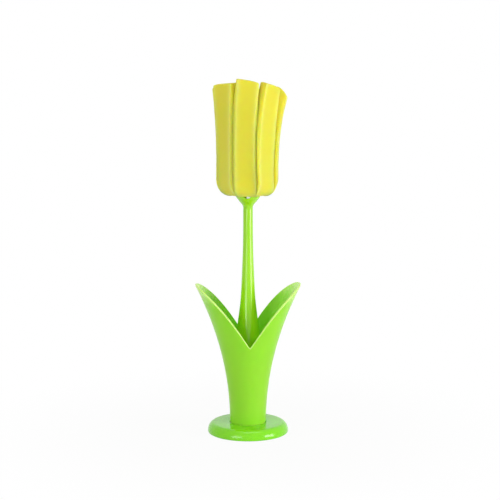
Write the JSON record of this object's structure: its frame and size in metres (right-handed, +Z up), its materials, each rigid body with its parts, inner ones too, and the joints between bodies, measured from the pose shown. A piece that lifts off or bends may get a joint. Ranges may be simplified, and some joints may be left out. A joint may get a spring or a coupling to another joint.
{
  "type": "sponge cup brush with stand",
  "caption": "Tulip-shaped sponge cup brush on a slim flared stem, standing upright in a two-leaf holder with a round foot.",
  "frame": {"origin": "on the floor under the middle of the round foot", "axes": "+Z up along the stem; the leaves point along +X and -X; the front V notch faces -Y"},
  "size_m": [0.0968, 0.0746, 0.3277],
  "materials": {
    "leaf_plastic": "satin moulded plastic",
    "foot_plastic": "glossy moulded plastic",
    "stem_plastic": "satin moulded plastic",
    "white_plastic": "plain moulded plastic",
    "foam": "fine open-cell sponge foam",
    "screw_steel": "bright plated steel"
  },
  "bodies": {
    "stand": {"base_disc": "foot_plastic", "leaf_vase": "leaf_plastic", "base_screw": "screw_steel"},
    "brush": {"stem": "stem_plastic"},
    "head": {"head_plug": "white_plastic", "foam_strip_1": "foam", "foam_strip_2": "foam", "foam_strip_3": "foam", "foam_strip_4": "foam", "clamp_disc": "white_plastic", "clamp_screw": "screw_steel"}
  },
  "joints": [
    {"name": "brush_lift", "type": "slide", "parent": "stand", "child": "brush", "axis": [0, 0, 1], "range_m": [0, 0.15]},
    {"name": "head_pull", "type": "slide", "parent": "brush", "child": "head", "axis": [0, 0, 1], "range_m": [0, 0.026]}
  ]
}
